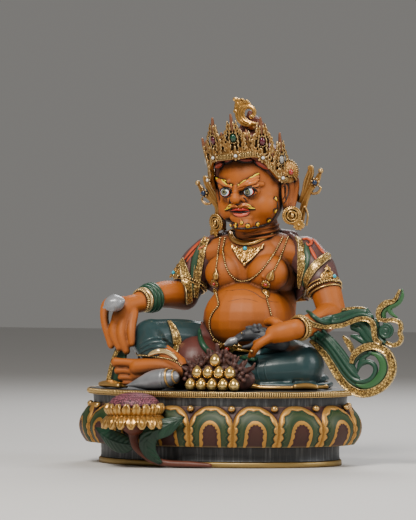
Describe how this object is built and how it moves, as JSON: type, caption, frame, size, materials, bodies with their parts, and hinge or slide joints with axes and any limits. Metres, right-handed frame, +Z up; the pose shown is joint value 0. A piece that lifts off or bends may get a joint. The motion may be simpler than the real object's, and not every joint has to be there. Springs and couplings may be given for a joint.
{
  "type": "jambhala statue",
  "caption": "Painted and part-gilt copper statue of a seated Jambhala with crown, scarf, mongoose and jewels on an oval lotus base.",
  "frame": {"origin": "middle of the underside of the lotus base", "axes": "+Z up; the figure looks along -Y; +X towards the figure's left, the side of the flying scarf"},
  "size_m": [0.304, 0.2177, 0.3251],
  "materials": {
    "graphite_paint": "satin, brushed",
    "gilding": "worn satin gilding, dark in the hollows",
    "skin_paint": "satin ochre with dark hollows",
    "robe_paint": "satin dark teal",
    "maroon_paint": "satin dark red",
    "green_paint": "satin green",
    "red_paint": "satin orange red",
    "pink_paint": "stippled dusty pink",
    "dark_grey_paint": "satin",
    "silver_paint": "satin silver",
    "stone": "polished stone"
  },
  "bodies": {
    "root": {"lotus_base": "graphite_paint", "foot_lotus": "gilding", "figure": "skin_paint", "crown": "gilding", "hair_finial": "gilding", "ear_ribbon_left": "gilding", "ear_ribbon_right": "gilding", "earring_left": "gilding", "earring_right": "gilding", "scarf": "green_paint", "mongoose": "dark_grey_paint", "fruit": "silver_paint", "conch": "silver_paint", "jewel_heap": "gilding"}
  },
  "joints": []
}
